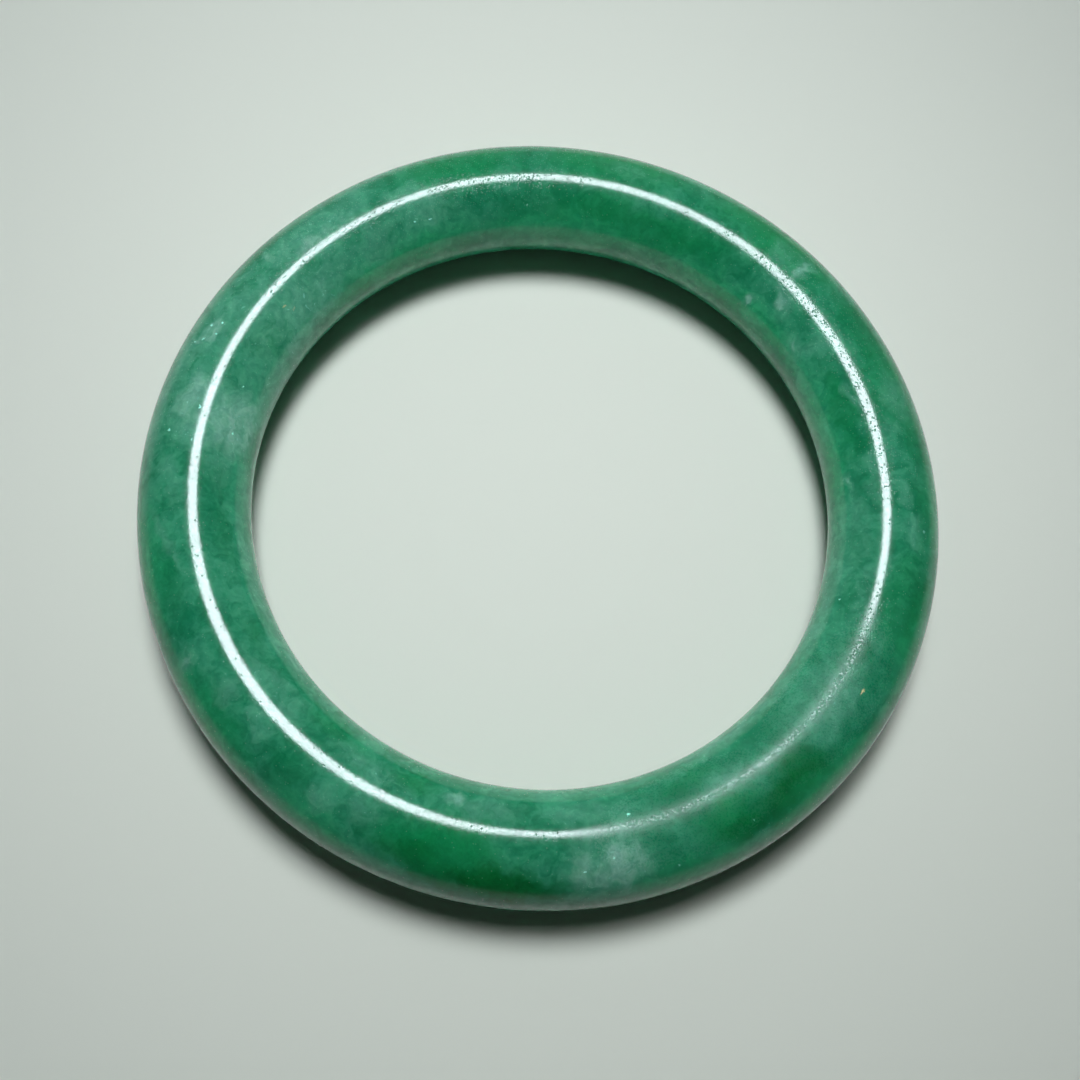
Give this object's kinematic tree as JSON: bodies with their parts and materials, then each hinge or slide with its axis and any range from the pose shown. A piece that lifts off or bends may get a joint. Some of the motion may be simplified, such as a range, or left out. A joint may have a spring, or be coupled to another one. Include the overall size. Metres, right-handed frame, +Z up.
{
  "type": "bangle bracelet",
  "caption": "Closed bangle bracelet with a round section, cut from mottled green stone and highly polished, put on by passing the hand through its round opening.",
  "frame": {"origin": "on the surface that the ring lies flat on, under the centre of the wrist opening", "axes": "+Z up along the axis that the ring is turned about; X and Y lie in the supporting surface, and the round shape makes every direction in it alike"},
  "size_m": [0.077, 0.077, 0.0105],
  "materials": {
    "jadeite": "high polish, translucent green jadeite with darker green clouds and pale grey-green wisps"
  },
  "bodies": {
    "root": {"bangle": "jadeite"}
  },
  "joints": []
}
